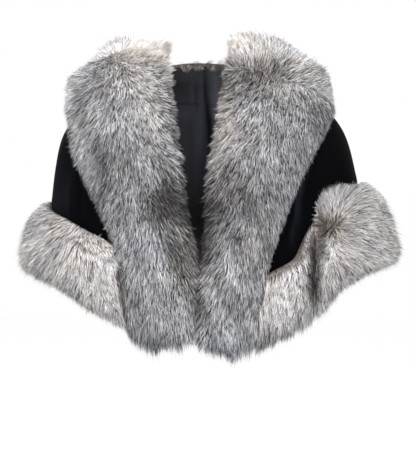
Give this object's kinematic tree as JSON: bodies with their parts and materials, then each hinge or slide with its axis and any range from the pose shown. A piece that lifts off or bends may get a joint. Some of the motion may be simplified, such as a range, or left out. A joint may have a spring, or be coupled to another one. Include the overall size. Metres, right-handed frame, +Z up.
{
  "type": "evening stole",
  "caption": "Short cape-like evening stole worn open over the shoulders, black velvet with a wide fur shawl collar, a fur hem border and a satin lining.",
  "frame": {"origin": "middle of the neck opening, level with the right side of the neck, where the wearer's shoulders carry the stole", "axes": "+X to the wearer's left, -Y to the front that opens, +Z up along the neck"},
  "size_m": [0.6697, 0.377, 0.5483],
  "materials": {
    "grey_fur": "long fox-like fur, grey with black and white guard hairs, matt",
    "pale_fur": "long fox-like fur, pale grey with a warm ground, matt",
    "velvet": "deep black velvet with a soft sheen at its edges",
    "satin": "black satin, half gloss"
  },
  "bodies": {
    "root": {"back": "velvet", "border_back": "pale_fur", "border_left": "pale_fur", "border_right": "pale_fur", "collar_left": "grey_fur", "collar_right": "grey_fur", "front_left": "velvet", "front_right": "velvet", "lining_left": "satin", "lining_pleat": "satin", "lining_right": "satin", "lining_yoke": "satin"}
  },
  "joints": []
}
